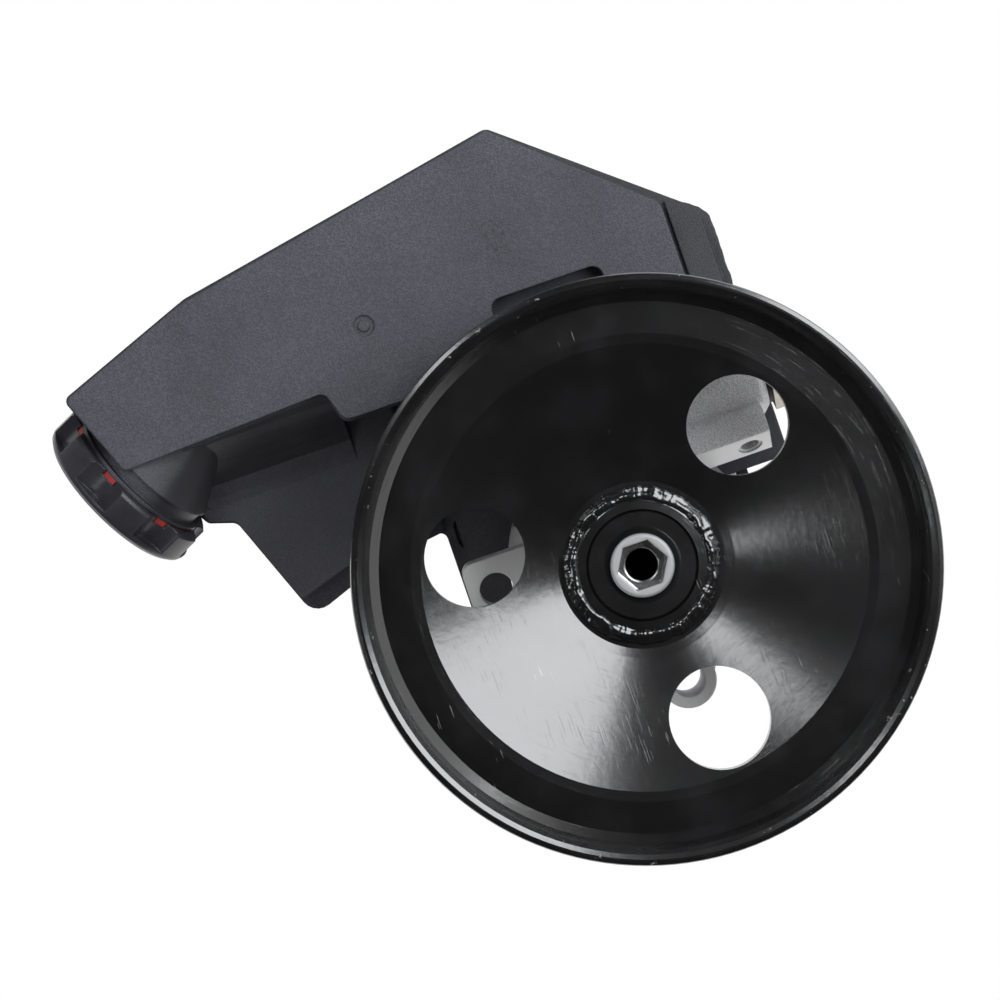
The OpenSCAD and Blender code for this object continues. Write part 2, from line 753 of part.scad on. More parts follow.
// Kidney-shaped port through a plate, as a stretch of a ring
module kidney(mid_r, width, mid_angle, half_angle, y0, y1) {
    intersection() {
        tube_y(mid_r + width / 2, mid_r - width / 2, y0, y1);
        prism_y(
            [[0, 0], for (a = [-half_angle, 0, half_angle]) far * [cos(mid_angle + a), sin(mid_angle + a)]],
            y0, y1
        );
    }
}

module thrust_plate() {
    color("#9b9ea2") difference() {
        tube_y(plate_r, shaft_d / 2 + 0.5, cavity_floor, cam_front);
        dowel_holes(cavity_floor - over, cam_front + over);
        for (a = [80, 260]) kidney(cam_r_min - 1.4, 2.4, a, 24, cavity_floor - over, cam_front + over);
        for (a = [0, 90, 180, 270]) kidney(slot_root_r, 2.2, a + 10, 26, cam_front - 1.5, cam_front + over);
    }
}

module cam_ring() {
    cam = [
        for (a = [0:5:355])
            (cam_r_min + cam_rise * (1 - cos(2 * (a - dowel_angle))) / 2) * [cos(a), sin(a)]
    ];
    color("#85888c") difference() {
        rod_y(plate_r, cam_front, cam_rear);
        prism_y(cam, cam_front - over, cam_rear + over);
        dowel_holes(cam_front - over, cam_rear + over);
    }
}

module pressure_plate() {
    color("#9b9ea2") difference() {
        rod_y(plate_r, cam_rear, plate_rear);
        rod_y(plate_recess_r, cam_rear - over, cam_rear + plate_recess);
        dowel_holes(cam_rear - over, dowel_end + face_gap);
        for (a = [80, 260]) kidney(cam_r_min - 1.4, 2.4, a, 24, cam_rear - over, plate_rear + over);
        tube_y(cavity_r + over, cavity_r - ring_d,
            plate_rear - ring_groove_w - seal_land, plate_rear - seal_land);
    }
}

module pressure_plate_seal() {
    y = plate_rear - seal_land - ring_groove_w / 2;
    color("#202022") o_ring(cavity_r - ring_d / 2, y, ring_d - 2 * seat_gap);
}

module pressure_plate_spring() {
    wire = 2;
    color("#70747a") along_y(plate_rear)
        coil(plate_spring_r, wire, 2.25, wire / 2 + seat_gap, spring_gap - wire / 2 - seat_gap);
}

module end_cover() {
    r = plate_r;
    dome = 2.4;
    groove_y = cover_front + cover_t * 0.45;
    profile = [
        [0, cover_front], [r - 0.6, cover_front], [r, cover_front + 0.6],
        [r, groove_y - ring_groove_w / 2], [cavity_r - ring_d, groove_y - ring_groove_w / 2],
        [cavity_r - ring_d, groove_y + ring_groove_w / 2], [r, groove_y + ring_groove_w / 2],
        [r, cover_rear - 1], [r - 1, cover_rear], [r - 5, cover_rear],
        [r - 7, cover_rear + dome], [0, cover_rear + dome]
    ];
    color("#8b8e92") turned(profile);
}

module end_cover_seal() {
    color("#202022") o_ring(cavity_r - ring_d / 2, cover_front + cover_t * 0.45, ring_d - 2 * seat_gap);
}

module end_cover_retaining_ring() {
    y = cover_rear + ring_wire_d / 2 + face_gap;
    color("#5c5f63") difference() {
        o_ring(cavity_r, y, ring_wire_d);
        prism_y([[0, 0], [-far, -far * 0.08], [-far, far * 0.08]], y - ring_wire_d, y + ring_wire_d);
    }
}

module flow_control_valve() {
    r = valve_bore_d / 2 - run_gap;
    profile = [
        [0, spool_low_z], [r - 2.5, spool_low_z], [r - 2.5, spool_low_z + 3], [r, spool_low_z + 3],
        [r, spool_low_z + 9], [r - 2, spool_low_z + 10], [r - 2, spool_low_z + 14], [r, spool_low_z + 15],
        [r, spool_high_z - 0.6], [r - 0.6, spool_high_z], [0, spool_high_z]
    ];
    color("#b4b8bd") translate([valve_x, valve_y, 0]) difference() {
        rotate_extrude() polygon(profile);
        for (z = [spool_high_z - 6, spool_high_z - 3.5])
            translate([0, 0, z]) rotate_extrude() translate([r, 0]) circle(d = 0.9, $fn = 16);
    }
}

module flow_control_spring() {
    mean_r = valve_bore_d / 2 - spring_wire;
    color("#70747a") translate([valve_x, valve_y, 0])
        coil(mean_r, spring_wire, 6.5, spool_high_z + spring_wire / 2 + loose_gap / 3,
            valve_floor_z - spring_wire / 2 - seat_gap);
}

module outlet_fitting() {
    color("#b9b29a") difference() {
        union() {
            rod_valve(fitting_thread_d / 2, valve_span[0] - washer_t - over, fitting_top_z);
            translate([valve_x, valve_y, fitting_low_z])
                cylinder(d = fitting_af / cos(30), h = fitting_hex_h, $fn = 6);
        }
        rod_valve(port_thread_d / 2, fitting_low_z - over, fitting_low_z + port_thread_len);
        rod_valve(fitting_bore_d / 2, fitting_low_z, fitting_top_z + over);
    }
}

module outlet_fitting_seal() {
    color("#3a3b3d") difference() {
        rod_valve(fitting_af / 2 - 0.4, valve_span[0] - washer_t, valve_span[0]);
        rod_valve(fitting_thread_d / 2 + seat_gap, valve_span[0] - washer_t - over, valve_span[0] + over);
    }
}

// Neck's own frame: its axis along Z, with 0 at the cap's lower edge
module neck_frame() {
    translate([neck_seat[0], neck_y, neck_seat[1]]) rotate([-neck_back, -neck_lean, 0])
        children();
}

module neck_rod(radius, z0, z1) {
    neck_frame() translate([0, 0, z0]) cylinder(r = radius, h = z1 - z0);
}

// Space that both halves of the reservoir leave open at the seam
module seam_opening(y0, y1) {
    prism_y(shelled(body_outline, body_radii, tank_wall), y0, y1);
    prism_y(shelled(skirt_outline, skirt_radii, tank_wall), y0, y1);
}

// Room round the cap's lower edge, which the reservoir keeps free
module cap_room(wall) {
    neck_rod(cap_d / 2 + cap_clear + wall, cap_skirt_z - cap_clear / 2 - wall, far);
}

module neck_taper(r0, r1, z0, z1) {
    neck_frame() translate([0, 0, z0]) cylinder(r1 = r0, r2 = r1, h = z1 - z0);
}

// Sloping wall that runs from the panel's lower edge down to the skirt and ends with the neck
module flank(low_y, z0, wall) {
    top_x = panel_step[0] - shoulder_w;
    slope = [for (p = flank_curve) [top_x - p[0], p[1]]];
    outline = concat(slope, [
        [slope[len(slope) - 1][0], low_y], [top_x + flank_back, low_y], [top_x + flank_back, slope[0][1]]
    ]);
    intersection() {
        translate([0, 0, z0]) linear_extrude(panel_peak[1] - z0) polygon(inset(outline, -wall));
        neck_frame() block([-far, -far, -2 * far], [far, far, neck_end - wall]);
    }
}

module reservoir_front() {
    gate = [83, 48.6];
    notch_z = panel_notch[1] / 2;
    notch = [
        [panel_x - 2 * over, -notch_z], [panel_x + panel_notch[0], -notch_z],
        [panel_x + panel_notch[0], notch_z], [panel_x - 2 * over, notch_z]
    ];
    color("#3b3c40") difference() {
        union() {
            difference() {
                union() {
                    prism_y(rounded(panel_outline, panel_radii), panel_y, shoulder_y + over);
                    prism_y(rounded(body_outline, body_radii), shoulder_y, seam_y);
                    prism_y(rounded(skirt_outline, skirt_radii), skirt_y, seam_y);
                    prism_y(rounded(front_seam, front_seam_radii), seam_y - flange_t, seam_y);
                    flank(skirt_y + tank_wall / 2, panel_top[1] + 1, 0);
                }
                prism_y(rounded(notch, [1, 3, 3, 1]), panel_y - over, shoulder_y);
                cap_room(0);
            }
            neck_taper(neck_foot_r, neck_r, neck_foot, neck_end);
            neck_rod(collar_r, neck_end - over, shelf_z);
            neck_rod(gasket_r, shelf_z - lip_t, shelf_z);
            neck_rod(mouth_r, shelf_z - over, mouth_h);
        }
        // Inside of the raised panel, the body, the skirt and the flank
        difference() {
            union() {
                difference() {
                    prism_y(shelled(panel_outline, panel_radii, tank_wall),
                        panel_y + tank_wall, shoulder_y + tank_wall + over);
                    block([0, panel_y, -notch_z - tank_wall],
                        [panel_x + panel_notch[0] + tank_wall, shoulder_y + tank_wall, notch_z + tank_wall]);
                }
                prism_y(shelled(body_outline, body_radii, tank_wall), shoulder_y + tank_wall, seam_y + over);
                prism_y(shelled(skirt_outline, skirt_radii, tank_wall), skirt_y + tank_wall, seam_y + over);
                flank(skirt_y + 3 * tank_wall, panel_top[1] + 1 + tank_wall, tank_wall);
            }
            cap_room(tank_wall);
        }
        // Inside of the neck
        neck_taper(neck_foot_r - tank_wall, neck_r - tank_wall, neck_foot + tank_wall, neck_end - tank_wall);
        neck_rod(mouth_bore_r, neck_end - tank_wall - over, mouth_h + over);
        // Gate mark of the moulding
        tube_y_at(2.8, 1.5, panel_y - over, panel_y + 0.6, gate);
        // Groove between the panel and the strip below it
        block([panel_x - 2 * over, shoulder_y - over, panel_low_z - groove_h],
            [panel_apex[0], shoulder_y + groove_d, panel_low_z]);
    }
}

// Tube along Y at a place of x and z
module tube_y_at(outer, inner, y0, y1, at) {
    translate([at[0], 0, at[1]]) tube_y(outer, inner, y0, y1);
}

// What the reservoir leaves free round the housing
module saddle(grow, y0, y1) {
    rod_y(saddle_r + grow, y0, y1);
    for (s = [0, 1]) mirror([0, 0, s])
        block([-over, y0, 0], [rail_x + rail_w + 7.6 + grow, y1, rail_z + rail_gap + grow]);
    block([0, y0, -port_r - 2 - grow], [port_face_x + grow, y1, port_r + 2 + grow]);
}

// Plate of the reservoir's arm that a clip holds
module reservoir_rail() {
    low = rail_z + rail_gap;
    block([rail_x, clip_y - 2, low], [rail_x + rail_w + 14, clip_y + clip_len + 2, low + rail_t]);
}

module reservoir_rear() {
    body = inset(rear_seam, flange_w);
    body_r = [for (r = rear_seam_radii) max(1, r - flange_w + 2)];
    roof = 4;
    inner_y = seam_y + tank_wall;
    tab = [[-3, 20], [arm_x + 6, 20], [arm_x + 6, seam_top_z], [-3, seam_top_z]];
    pocket = [[16.5, 36.5], [25, 36.5], [25, 44], [16.5, 44]];
    pocket_d = 2;
    color("#303135") difference() {
        union() {
            difference() {
                union() {
                    prism_y(rounded(body, body_r), seam_y, tank_rear_y - roof);
                    prism_y(shelled(body, body_r, roof / 2), tank_rear_y - roof - over, tank_rear_y);
                }
                saddle(0, seam_y - over, tank_rear_y + over);
                cap_room(0);
            }
            difference() {
                union() {
                    prism_y(rounded(rear_seam, rear_seam_radii), seam_y, seam_y + flange_t);
                    prism_y(rounded(tab, [2, 2, 2, 3]), seam_y, seam_y + flange_t);
                }
                rod_y(saddle_r, seam_y - over, seam_y + flange_t + over);
                cap_room(0);
                prism_y(rounded(pocket, [2, 2, 2, 2]), seam_y - over, seam_y + pocket_d);
            }
            reservoir_rail();
            mirror([0, 0, 1]) reservoir_rail();
            // Spigot into the feed port, and the return nipple with its bead
            translate([port_face_x - 7, port_y, 0]) rotate([0, 90, 0])
                cylinder(r = port_bore_r - spigot_gap, h = 7 + tank_wall);
            rod_y(nipple_d / 2, tank_rear_y - over, tank_rear_y + nipple_len, nipple_at);
            translate([nipple_at[0], 0, nipple_at[1]]) turned([
                [0, tank_rear_y + nipple_len - 6], [nipple_d / 2, tank_rear_y + nipple_len - 6],
                [nipple_d / 2 + 0.9, tank_rear_y + nipple_len - 4],
                [nipple_d / 2 - 1, tank_rear_y + nipple_len],
                [0, tank_rear_y + nipple_len]
            ]);
        }
        difference() {
            prism_y(shelled(body, body_r, tank_wall), inner_y, tank_rear_y - tank_wall);
            saddle(tank_wall, seam_y, tank_rear_y);
            block([0, seam_y, -far], [arm_x + arm_solid, tank_rear_y, seam_top_z + tank_wall]);
            cap_room(tank_wall);
        }
        difference() {
            seam_opening(seam_y - over, inner_y + over);
            cap_room(tank_wall);
        }
        translate([port_face_x - 7 - over, port_y, 0]) rotate([0, 90, 0]) cylinder(r = 4.6, h = 14);
        rod_y(nipple_d / 2 - 1.6, tank_rear_y - tank_wall - over, tank_rear_y + nipple_len + over, nipple_at);
    }
}

module feed_port_seal() {
    color("#202022") translate([port_face_x - seal_t, port_y, 0]) rotate([0, 90, 0]) difference() {
        cylinder(r = port_r - 0.6, h = seal_t);
        translate([0, 0, -over]) cylinder(r = port_bore_r + spigot_gap, h = seal_t + 2 * over);
    }
}

// Folded clip that slides along Y over the rails of the housing and the reservoir
module clip() {
    low = rail_z - rail_t - seat_gap;
    high = rail_z + rail_gap + rail_t + seat_gap;
    back = rail_x - seat_gap;
    reach = rail_x + rail_w - 1.2;
    outline = [
        [back - clip_t, low - clip_t], [reach, low - clip_t], [reach, low], [back, low],
        [back, high], [reach, high], [reach, high + clip_t], [back - clip_t, high + clip_t]
    ];
    prism_y(outline, clip_y, clip_y + clip_len);
}

module reservoir_clip_upper() {
    color("#9a9c9f") clip();
}

module reservoir_clip_lower() {
    color("#9a9c9f") mirror([0, 0, 1]) clip();
}

module cap_gasket() {
    color("#b3261e") neck_frame() translate([0, 0, shelf_z + face_gap]) difference() {
        cylinder(r = gasket_r, h = gasket_t);
        translate([0, 0, -over]) cylinder(r = mouth_r + 0.4, h = gasket_t + 2 * over);
    }
}

module filler_cap() {
    r = cap_d / 2;
    scallop_r = 8.5;
    skirt_r = gasket_r + loose_gap;
    scallop_top = cap_h - 3.6;
    profile = [
        [0, cap_h], [r - 5, cap_h - 0.4], [r - 1.6, cap_h - 1.1], [r - 0.3, cap_h - 2.2], [r, cap_h - 3],
        [r, cap_skirt_z + 0.8], [r - 0.8, cap_skirt_z], [skirt_r, cap_skirt_z], [skirt_r, 0],
        [cap_bore_r, 0], [cap_bore_r, cap_roof], [0, cap_roof]
    ];
    color("#2b2c2f") neck_frame() difference() {
        rotate_extrude() polygon(profile);
        for (i = [0:scallop_count - 1])
            rotate(scallop_turn + i * 360 / scallop_count)
                translate([r + scallop_r - scallop_depth, 0, cap_skirt_z - over])
                    cylinder(r = scallop_r, h = scallop_top - cap_skirt_z + over, $fn = 48);
    }
}

module dipstick() {
    w = 7;
    t = 2;
    color("#2b2c2f") neck_frame() difference() {
        block([-w / 2, -t / 2, cap_roof - dipstick_len], [w / 2, t / 2, cap_roof]);
        for (z = [6, 18])
            block([-w, t / 4, cap_roof - dipstick_len + z], [w, t, cap_roof - dipstick_len + z + 1.2]);
    }
}

pulley();
pulley_hub();
drive_shaft();
rotor();
rotor_retaining_ring();
for (i = [1:vane_count]) vane(i);
pump_housing();
valve_housing();
shaft_bushing();
shaft_seal();
thrust_plate();
cam_ring();
pressure_plate();
alignment_dowels();
pressure_plate_seal();
pressure_plate_spring();
end_cover();
end_cover_seal();
end_cover_retaining_ring();
flow_control_valve();
flow_control_spring();
outlet_fitting();
outlet_fitting_seal();
reservoir_front();
reservoir_rear();
feed_port_seal();
reservoir_clip_upper();
reservoir_clip_lower();
cap_gasket();
filler_cap();
dipstick();
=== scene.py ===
import math

import bmesh
import bpy
from mathutils import Matrix, Vector, noise


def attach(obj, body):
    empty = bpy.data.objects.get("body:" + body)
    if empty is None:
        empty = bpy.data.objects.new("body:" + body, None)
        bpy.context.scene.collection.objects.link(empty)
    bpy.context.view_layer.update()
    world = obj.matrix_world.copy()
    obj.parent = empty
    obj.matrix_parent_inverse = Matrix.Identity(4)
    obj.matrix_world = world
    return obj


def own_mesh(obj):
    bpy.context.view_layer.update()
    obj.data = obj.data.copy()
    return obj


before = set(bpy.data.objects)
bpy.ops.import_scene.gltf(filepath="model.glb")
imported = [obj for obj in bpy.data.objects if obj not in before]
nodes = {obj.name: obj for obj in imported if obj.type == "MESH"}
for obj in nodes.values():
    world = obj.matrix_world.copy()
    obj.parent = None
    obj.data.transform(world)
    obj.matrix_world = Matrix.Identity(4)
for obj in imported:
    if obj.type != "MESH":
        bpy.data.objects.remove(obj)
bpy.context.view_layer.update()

MM = 0.001
FULL_TURN = 2 * math.pi

# Directions of the photograph in the shared frame
RIGHT = Vector((-0.3256, 0.0, -0.9455))
UP = Vector((0.9455, 0.0, -0.3256))
FRONT = Vector((0.0, -1.0, 0.0))

# Camera, with places in metres, and lens and film in millimetres
CAMERA_EYE = Vector((0.0679, -0.922, 0.0346))
CAMERA_AIM = Vector((0.0293, -0.022, 0.0298))
LENS = 127.3
FILM_WIDTH = 36.0
FARTHEST_SEEN = 20.0

# Place that the lamps face, in metres, and their colour
LAMP_AIM = Vector((0.0293, -0.010, 0.0298))
LAMP_COLOUR = (0.96, 0.98, 1.0)

# Strengths of the world, and the stretch of directions from front to back over which it turns white
WORLD_FILL = 0.85
WORLD_FRONT = 0.008
WORLD_BACK = 1.0
WORLD_TURN = (0.05, 0.45)

# Floor, in metres
FLOOR_LEVEL = -0.68
FLOOR_HALF_WIDTH = 2.2
FLOOR_FRONT = -0.45
FLOOR_BACK = 2.0

# Weld bead round the hub, in millimetres, with its place along the shaft
WELD_RADIUS = 18.3
WELD_PLACE = 1.5
WELD_HALF_WIDTH = 2.1
WELD_HALF_HEIGHT = 1.25
WELD_STEPS = 540
WELD_POINTS = 24

# Flash at the right end of the reservoir's weld flange, in millimetres, with its places along the shaft
FLASH_CORNERS = ((58.5, -50.3), (82.6, -50.3), (88.9, -42.6))
FLASH_BEND_RADIUS = 4.0
FLASH_BEND_STEPS = 8
FLASH_STEP = 0.8
FLASH_FADE_STEPS = 6
FLASH_POINTS = 10
FLASH_HALF_WIDTH = 0.55
FLASH_LEAST_HALF_HEIGHT = 0.5
FLASH_SWELLING = 0.4
FLASH_EDGE_PLACE = 54.0
FLASH_FACE_PLACE = 50.6
FLASH_FACE_INSET = 2.0


def add_object(name, data):
    thing = bpy.data.objects.new(name, data)
    bpy.context.collection.objects.link(thing)
    return thing


def facing(place, back):
    """Placement that looks against a direction, with the photograph's upper side at its top."""
    side = UP.cross(back).normalized()
    top = back.cross(side)
    return Matrix.Translation(place) @ Matrix((side, top, back)).transposed().to_4x4()


def add_camera():
    """Long lens in front of the pulley, turned so that the filler cap is at the lower left."""
    data = bpy.data.cameras.new("camera")
    data.lens = LENS
    data.sensor_width = FILM_WIDTH
    data.clip_end = FARTHEST_SEEN
    camera = add_object("camera", data)
    camera.matrix_world = facing(CAMERA_EYE, (CAMERA_EYE - CAMERA_AIM).normalized())
    bpy.context.scene.camera = camera


def softbox(name, towards, distance, size, radiance):
    """Area lamp that faces the object, placed by the photograph's right, up and front."""
    right, up, front = towards
    width, height = size
    away = (RIGHT * right + UP * up + FRONT * front).normalized()
    data = bpy.data.lights.new(name, "AREA")
    data.shape = "RECTANGLE"
    data.size = width
    data.size_y = height
    # An area lamp's radiance is a quarter of its power for each unit of its area
    data.energy = 4.0 * width * height * radiance
    data.color = LAMP_COLOUR
    lamp = add_object(name, data)
    lamp.matrix_world = facing(LAMP_AIM + away * distance, away)


class Wiring:
    """Shader nodes being wired in one tree."""

    def __init__(self, tree):
        self.tree = tree

    def feed(self, socket, value):
        """Links a socket to another one, or sets it to a value."""
        if isinstance(value, bpy.types.NodeSocket):
            self.tree.links.new(value, socket)
        else:
            socket.default_value = value

    def add(self, kind, inputs=None, **settings):
        node = self.tree.nodes.new("ShaderNode" + kind)
        for key, value in settings.items():
            setattr(node, key, value)
        for key, value in (inputs or {}).items():
            self.feed(node.inputs[key], value)
        return node

    def maths(self, operation, a, b=0.0):
        return self.add("Math", {0: a, 1: b}, operation=operation).outputs[0]

    def times(self, a, b):
        return self.maths("MULTIPLY", a, b)

    def length(self, vector):
        return self.add("VectorMath", {0: vector}, operation="LENGTH").outputs["Value"]

    def split(self, vector):
        return self.add("SeparateXYZ", {0: vector}).outputs

    def join(self, x, y=0.0, z=0.0):
        return self.add("CombineXYZ", {0: x, 1: y, 2: z}).outputs[0]

    def spread(self, value, low, high, first=0.0, last=1.0):
        """Goes smoothly from the first level to the last while the value goes from low to high."""
        inputs = {"Value": value, "From Min": low, "From Max": high, "To Min": first, "To Max": last}
        return self.add("MapRange", inputs, interpolation_type="SMOOTHSTEP").outputs["Result"]

    def fall(self, value, low, high):
        """Goes smoothly from 1 to 0 while the value goes from low to high."""
        return self.spread(value, low, high, 1.0, 0.0)

    def between(self, share, first, last):
        """Goes smoothly from the first level to the last with a share from 0 to 1."""
        return self.spread(share, 0.0, 1.0, first, last)

    def blend(self, share, first, last):
        """Mixes two numbers."""
        return self.add("Mix", {0: share, 2: first, 3: last}).outputs[0]

    def mix(self, share, first, last):
        """Mixes two colours, which have sockets of their own on the node."""
        return self.add("Mix", {0: share, 6: first, 7: last}, data_type="RGBA").outputs[2]


class Finish(Wiring):
    """A procedural material being wired, on coordinates of the shared frame in metres."""

    def __init__(self, name, values):
        self.material = bpy.data.materials.new(name)
        self.material.use_nodes = True
        super().__init__(self.material.node_tree)
        self.shader = self.tree.nodes["Principled BSDF"]
        coordinates = self.add("TexCoord")
        self.place = coordinates.outputs["Object"]
        self.normal = coordinates.outputs["Normal"]
        self.relief = None
        for socket, value in values.items():
            self.give(socket, value)

    def give(self, socket, value):
        """Links or sets one of the shader's own sockets."""
        self.feed(self.shader.inputs[socket], value)

    def noise(self, scale, detail=2.0, rough=0.5, place=None):
        inputs = {"Vector": place or self.place, "Scale": scale, "Detail": detail, "Roughness": rough}
        return self.add("TexNoise", inputs).outputs["Fac"]

    def clouds(self, scale, detail=4.0, rough=0.6):
        return self.spread(self.noise(scale, detail, rough), 0.3, 0.7)

    def streaks(self, along, across, detail, rough):
        """Noise over two values that are scaled already, so that it is drawn out along the lesser one."""
        return self.noise(1.0, detail, rough, self.join(along, across))

    def patch(self, x, z, middle, reach, grain):
        """Soft oval in the plane across the shaft, broken up by a grain."""
        across = self.maths("DIVIDE", self.maths("SUBTRACT", x, middle[0]), reach[0])
        along = self.maths("DIVIDE", self.maths("SUBTRACT", z, middle[1]), reach[1])
        return self.times(self.fall(self.length(self.join(across, along)), 0.3, 1.1), grain)

    def raise_by(self, height, depth, strength):
        """Adds a relief of that depth in metres to the ones already there."""
        inputs = {"Height": height, "Distance": depth, "Strength": strength}
        if self.relief:
            inputs["Normal"] = self.relief
        self.relief = self.add("Bump", inputs).outputs["Normal"]

    def soften(self, radius):
        """Rounds the look of sharp edges by that radius in metres."""
        self.relief = self.add("Bevel", {"Radius": radius}, samples=6).outputs["Normal"]

    def finish(self, coat=False):
        if self.relief:
            self.give("Normal", self.relief)
            if coat:
                self.give("Coat Normal", self.relief)
        return self.material


def grey(level, blue=1.0):
    """Grey of one level, with its blue share raised by a factor."""
    return (level, level, level * blue, 1.0)


def black_paint():
    """Gloss black over steel, with orange peel, swirl marks, scratches and a few chips on the rim's edge."""
    rim_edge = (-0.0212, -0.0188)
    cone_inner_edge = (0.021, 0.023)
    cone_outer_edge = (0.050, 0.054)
    bare_metal = (0.22, 0.21, 0.20, 1.0)
    f = Finish("black_paint", {
        "Coat Weight": 1.0,
        "Coat Roughness": 0.17,
        "Coat IOR": 1.9,
        "IOR": 1.5,
        "Specular IOR Level": 0.15,
    })
    x, y, z = f.split(f.place)
    radius = f.length(f.join(x, 0.0, z))
    angle = f.maths("ARCTAN2", z, x)
    swirl = f.streaks(f.times(radius, 2600.0), f.times(angle, 5.0), detail=3.0, rough=0.6)
    slant = f.maths("ADD", x, f.times(z, 0.4))
    lines = f.streaks(f.times(slant, 90.0), f.times(z, 2200.0), detail=2.0, rough=0.5)
    chips = f.times(f.fall(y, *rim_edge), f.spread(f.noise(330.0, detail=4.0, rough=0.7), 0.66, 0.70))
    scratches = f.times(f.spread(lines, 0.70, 0.74), f.spread(f.noise(46.0), 0.60, 0.66))
    cone = f.times(f.spread(radius, *cone_inner_edge), f.fall(radius, *cone_outer_edge))
    worn = f.times(cone, f.spread(f.noise(60.0, detail=3.0), 0.46, 0.62))
    fine_scratches = f.times(worn, f.spread(lines, 0.62, 0.70))
    dust = f.spread(f.noise(70.0, detail=4.0, rough=0.6), 0.35, 0.75)
    black = f.mix(dust, grey(0.0035, 1.1), grey(0.006, 1.12))
    f.give("Base Color", f.mix(f.maths("MAXIMUM", chips, scratches), black, bare_metal))
    f.give("Roughness", f.between(dust, 0.30, 0.42))
    f.raise_by(f.noise(420.0), depth=0.00004, strength=0.5)
    f.raise_by(f.spread(swirl, 0.60, 0.70), depth=0.000012, strength=0.5)
    f.raise_by(fine_scratches, depth=0.000018, strength=0.55)
    return f.finish(coat=True)


def hard_steel():
    """Steel turned or ground about the shaft, with rings from the tool."""
    f = Finish("hard_steel", {"Metallic": 1.0})
    x, y, z = f.split(f.place)
    radius = f.length(f.join(x, 0.0, z))
    rings = f.noise(2000.0, detail=3.0, rough=0.6, place=f.join(radius, y))
    f.give("Base Color", f.mix(f.noise(140.0, detail=3.0), grey(0.34, 1.02), grey(0.40, 1.01)))
    f.give("Roughness", f.spread(rings, 0.3, 0.7, 0.256, 0.40))
    f.raise_by(rings, depth=0.00002, strength=0.6)
    return f.finish()


def bright_steel():
    """Ground steel, coarsely turned on the shaft's front face, with painted shade, near black, deep down its
    threaded hole.
    """
    front_face = (0.0002, 0.0007)
    bore_wall = (0.0042, 0.0045)
    bore_mouth = (0.0045, 0.006)
    f = Finish("bright_steel", {})
    f.soften(0.0009)
    x, y, z = f.split(f.place)
    radius = f.length(f.join(x, 0.0, z))
    rings = f.noise(2400.0, detail=3.0, rough=0.6, place=f.join(radius, f.times(y, 0.4)))
    face = f.fall(y, *front_face)
    bore_shade = f.times(f.fall(radius, *bore_wall), f.spread(y, *bore_mouth))
    steel = f.mix(f.noise(140.0, detail=3.0), grey(0.66, 1.02), grey(0.78, 1.01))
    outside = f.mix(face, steel, grey(0.40, 1.02))
    # Painted shade: near-black colour deep inside the threaded hole, past its mouth.
    f.give("Base Color", f.mix(bore_shade, outside, grey(0.012)))
    f.give("Metallic", f.between(face, 1.0, 0.5))
    f.give("Roughness", f.between(face, 0.22, 0.46))
    f.raise_by(rings, depth=0.00003, strength=0.7)
    return f.finish()


def plated(name, colour, rough):
    """Plated or drawn metal with soft clouds."""
    cloud_shade = 0.72
    f = Finish(name, {"Metallic": 1.0})
    cloud = f.noise(190.0, detail=4.0, rough=0.6)
    dark = tuple(part * cloud_shade for part in colour[:3]) + (1.0,)
    f.give("Base Color", f.mix(f.spread(cloud, 0.35, 0.7), dark, colour))
    f.give("Roughness", f.spread(cloud, 0.3, 0.7, rough * 0.8, rough * 1.2))
    f.raise_by(f.noise(2200.0), depth=0.00002, strength=0.5)
    return f.finish()


def cast_aluminium():
    """Grainy casting, smoother on the faces machined square to the shaft and on the arm's drilled face."""
    drilled_face_out = (-0.888, -0.460, 0.0)
    arm_side = (0.0146, 0.0150)
    arm_end = (-0.012, -0.011)
    f = Finish("cast_aluminium", {"Metallic": 0.2, "IOR": 1.6})
    f.soften(0.0008)
    x, y, z = f.split(f.place)
    arm = f.times(f.spread(x, *arm_side), f.fall(z, *arm_end))
    square = f.spread(f.maths("ABSOLUTE", f.split(f.normal)[1]), 0.975, 0.99)
    towards = f.add("VectorMath", {0: f.normal, 1: drilled_face_out}, operation="DOT_PRODUCT")
    drilled = f.spread(towards.outputs["Value"], 0.96, 0.985)
    machined = f.blend(arm, square, drilled)
    grain = f.noise(2500.0, detail=3.0, rough=0.6)
    skin = f.mix(f.clouds(120.0), grey(0.86, 1.02), grey(0.95, 1.02))
    porous = f.mix(f.spread(grain, 0.42, 0.56), grey(0.66, 1.04), skin)
    f.give("Base Color", f.mix(machined, porous, grey(0.92)))
    f.give("Roughness", f.between(machined, 0.58, 0.34))
    f.raise_by(grain, depth=0.0006, strength=f.between(machined, 1.0, 0.10))
    return f.finish()


